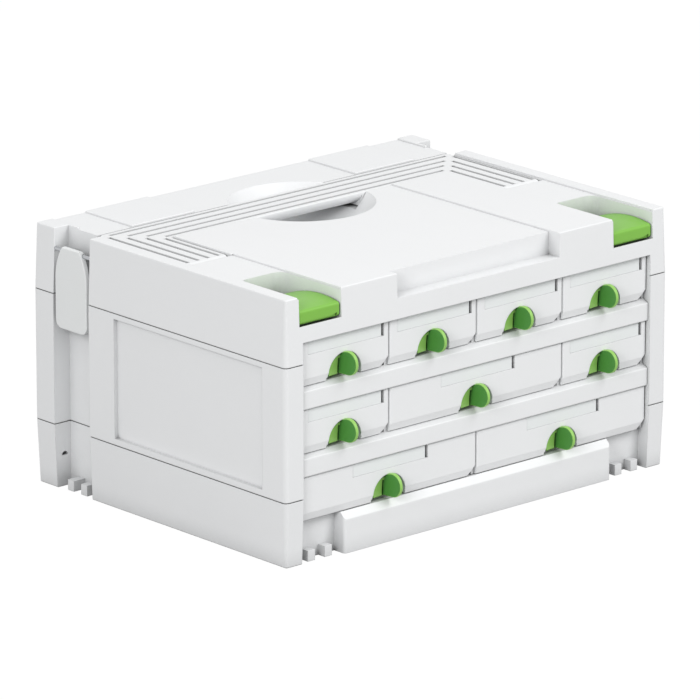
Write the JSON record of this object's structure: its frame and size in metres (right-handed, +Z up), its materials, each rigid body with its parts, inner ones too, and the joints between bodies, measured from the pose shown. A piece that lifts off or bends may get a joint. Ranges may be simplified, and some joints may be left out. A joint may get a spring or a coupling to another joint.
{
  "type": "drawer organizer case",
  "caption": "Stackable case of white moulded layers with rows of small drawers on green finger pulls, a folding top handle and stacking latches.",
  "frame": {"origin": "centre of the footprint on the floor, midway between the front and rear posts", "axes": "+X right seen from the front, -Y the way the drawers open, +Z up"},
  "size_m": [0.396, 0.3062, 0.21],
  "materials": {
    "white_shell": "fine moulded grain",
    "white_shelf": "satin moulded",
    "white_drawer": "satin moulded",
    "green_pull": "satin moulded",
    "green_latch": "satin moulded",
    "grey_latch": "fine moulded grain",
    "label_card": "blank card",
    "steel_pin": "drawn"
  },
  "bodies": {
    "case": {"base_tray": "white_shell", "middle_shell": "white_shell", "top_cover": "white_shell", "upper_shelf": "white_shelf", "lower_shelf": "white_shelf", "bottom_deck": "white_shelf", "handle_pin_left": "steel_pin", "front_latch_pin_left": "steel_pin", "side_latch_pin_left": "steel_pin", "handle_pin_right": "steel_pin", "front_latch_pin_right": "steel_pin", "side_latch_pin_right": "steel_pin"},
    "carry_handle": {"carry_handle": "white_shell"},
    "front_latch_left": {"front_latch_left": "green_latch"},
    "front_latch_right": {"front_latch_right": "green_latch"},
    "side_latch_left": {"side_latch_left": "grey_latch"},
    "side_latch_right": {"side_latch_right": "grey_latch"},
    "drawer_row1_1": {"drawer_row1_1": "white_drawer", "drawer_pull_row1_1": "green_pull", "drawer_label_row1_1": "label_card"},
    "drawer_row1_2": {"drawer_row1_2": "white_drawer", "drawer_pull_row1_2": "green_pull", "drawer_label_row1_2": "label_card"},
    "drawer_row1_3": {"drawer_row1_3": "white_drawer", "drawer_pull_row1_3": "green_pull", "drawer_label_row1_3": "label_card"},
    "drawer_row1_4": {"drawer_row1_4": "white_drawer", "drawer_pull_row1_4": "green_pull", "drawer_label_row1_4": "label_card"},
    "drawer_row2_1": {"drawer_row2_1": "white_drawer", "drawer_pull_row2_1": "green_pull", "drawer_label_row2_1": "label_card"},
    "drawer_row2_2": {"drawer_row2_2": "white_drawer", "drawer_pull_row2_2": "green_pull", "drawer_label_row2_2": "label_card"},
    "drawer_row2_3": {"drawer_row2_3": "white_drawer", "drawer_pull_row2_3": "green_pull", "drawer_label_row2_3": "label_card"},
    "drawer_row3_1": {"drawer_row3_1": "white_drawer", "drawer_pull_row3_1": "green_pull", "drawer_label_row3_1": "label_card"},
    "drawer_row3_2": {"drawer_row3_2": "white_drawer", "drawer_pull_row3_2": "green_pull", "drawer_label_row3_2": "label_card"}
  },
  "joints": [
    {"name": "handle_fold", "type": "hinge", "parent": "case", "child": "carry_handle", "pos_m": [0, -0.015, 0.2024], "axis": [1, 0, 0], "range_deg": [0, 90]},
    {"name": "front_latch_left_turn", "type": "hinge", "parent": "case", "child": "front_latch_left", "pos_m": [-0.162, -0.1426, 0.1906], "axis": [1, 0, 0], "range_deg": [0, 90]},
    {"name": "front_latch_right_turn", "type": "hinge", "parent": "case", "child": "front_latch_right", "pos_m": [0.162, -0.1426, 0.1906], "axis": [1, 0, 0], "range_deg": [0, 90]},
    {"name": "side_latch_left_turn", "type": "hinge", "parent": "case", "child": "side_latch_left", "pos_m": [-0.1948, 0.10275, 0.1936], "axis": [0, 1, 0], "range_deg": [0, 170]},
    {"name": "side_latch_right_turn", "type": "hinge", "parent": "case", "child": "side_latch_right", "pos_m": [0.1948, 0.10275, 0.1936], "axis": [0, -1, 0], "range_deg": [0, 170]},
    {"name": "drawer_row1_1_slide", "type": "slide", "parent": "case", "child": "drawer_row1_1", "axis": [0, -1, 0], "range_m": [0, 0.2]},
    {"name": "drawer_row1_2_slide", "type": "slide", "parent": "case", "child": "drawer_row1_2", "axis": [0, -1, 0], "range_m": [0, 0.2]},
    {"name": "drawer_row1_3_slide", "type": "slide", "parent": "case", "child": "drawer_row1_3", "axis": [0, -1, 0], "range_m": [0, 0.2]},
    {"name": "drawer_row1_4_slide", "type": "slide", "parent": "case", "child": "drawer_row1_4", "axis": [0, -1, 0], "range_m": [0, 0.2]},
    {"name": "drawer_row2_1_slide", "type": "slide", "parent": "case", "child": "drawer_row2_1", "axis": [0, -1, 0], "range_m": [0, 0.2]},
    {"name": "drawer_row2_2_slide", "type": "slide", "parent": "case", "child": "drawer_row2_2", "axis": [0, -1, 0], "range_m": [0, 0.2]},
    {"name": "drawer_row2_3_slide", "type": "slide", "parent": "case", "child": "drawer_row2_3", "axis": [0, -1, 0], "range_m": [0, 0.2]},
    {"name": "drawer_row3_1_slide", "type": "slide", "parent": "case", "child": "drawer_row3_1", "axis": [0, -1, 0], "range_m": [0, 0.2]},
    {"name": "drawer_row3_2_slide", "type": "slide", "parent": "case", "child": "drawer_row3_2", "axis": [0, -1, 0], "range_m": [0, 0.2]}
  ]
}
